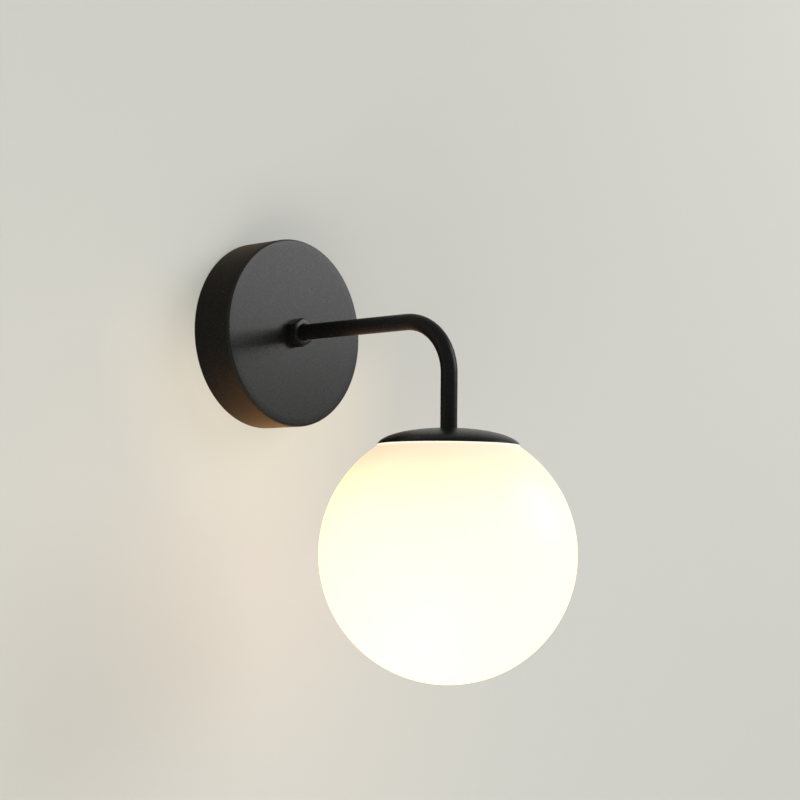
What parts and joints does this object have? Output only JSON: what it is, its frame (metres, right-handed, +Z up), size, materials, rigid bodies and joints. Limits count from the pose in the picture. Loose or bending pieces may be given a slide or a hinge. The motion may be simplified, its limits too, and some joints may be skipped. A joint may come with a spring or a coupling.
{
  "type": "globe wall sconce",
  "caption": "Wall light with a round canopy, a bent tube arm and an opal glass globe hanging from a shallow metal cap.",
  "frame": {"origin": "centre of the canopy's back on the wall plane", "axes": "+Z up, the lamp reaches out from the wall along -Y, +X to the right seen from the front"},
  "size_m": [0.15, 0.23, 0.273],
  "materials": {
    "black_metal": "satin powder coat",
    "zinc_steel": "zinc plated",
    "steel_screws": "blackened",
    "spring_steel": "bright",
    "brass": "satin",
    "opal_glass": "glossy opal",
    "clear_silicone": "translucent",
    "block_plastic": "matte",
    "bushing_plastic": "matte",
    "holder_plastic": "satin moulded",
    "insert_ceramic": "unglazed",
    "lamp_nickel": "nickel plated",
    "lamp_tip": "tinned",
    "lamp_insulator": "gloss",
    "lamp_body": "satin",
    "lamp_dome": "opal",
    "board_aluminium": "white solder mask",
    "led_yellow": "phosphor",
    "board_green": "circuit board",
    "wire_brown": "satin",
    "wire_blue": "satin",
    "wire_earth": "satin"
  },
  "bodies": {
    "root": {"arm_tube": "black_metal", "canopy": "black_metal", "canopy_grub_screws": "steel_screws", "cap_spacer": "zinc_steel", "centre_contact": "brass", "clip_plate": "zinc_steel", "clip_rivets": "zinc_steel", "earth_ring": "brass", "earth_screw": "brass", "earth_tag": "brass", "earth_washer": "brass", "earth_wire": "wire_earth", "end_nipple": "zinc_steel", "front_nut": "black_metal", "globe_cap": "black_metal", "holder_cap": "holder_plastic", "holder_insert": "insert_ceramic", "holder_lock_screw": "steel_screws", "holder_shell": "holder_plastic", "holder_terminal_screws": "steel_screws", "holder_terminals": "brass", "inner_nut": "zinc_steel", "live_wire": "wire_brown", "lock_washer": "zinc_steel", "neutral_wire": "wire_blue", "nipple_nut": "zinc_steel", "nipple_washer": "zinc_steel", "seat_ring": "clear_silicone", "side_contact": "brass", "spring_clips": "spring_steel", "terminal_block": "block_plastic", "terminal_block_screw": "steel_screws", "terminal_clamp_screws": "steel_screws", "terminal_clamps": "brass", "tube_bushing": "bushing_plastic", "wall_bracket": "zinc_steel"},
    "globe": {"globe_glass": "opal_glass"},
    "bulb_carrier": {"bulb_tip_contact": "lamp_tip"},
    "bulb": {"bulb_screw_shell": "lamp_nickel", "bulb_insulator": "lamp_insulator", "bulb_body": "lamp_body", "bulb_dome": "lamp_dome", "led_board": "board_aluminium", "led_chips": "led_yellow", "driver_board": "board_green"}
  },
  "joints": [
    {"name": "globe_pull", "type": "slide", "parent": "root", "child": "globe", "axis": [0, 0, -1], "range_m": [0, 0.115], "deforming": ["spring_clips"]},
    {"name": "bulb_drop", "type": "slide", "parent": "root", "child": "bulb_carrier", "axis": [0, 0, -1], "range_m": [0, 0.0146]},
    {"name": "bulb_turn", "type": "hinge", "parent": "bulb_carrier", "child": "bulb", "pos_m": [0, -0.155, -0.12], "axis": [0, 0, -1], "range_deg": [0, 1440]}
  ],
  "couplings": [
    {"joint": "bulb_drop", "follows": "bulb_turn", "m_per_rad": 0.00057757}
  ]
}
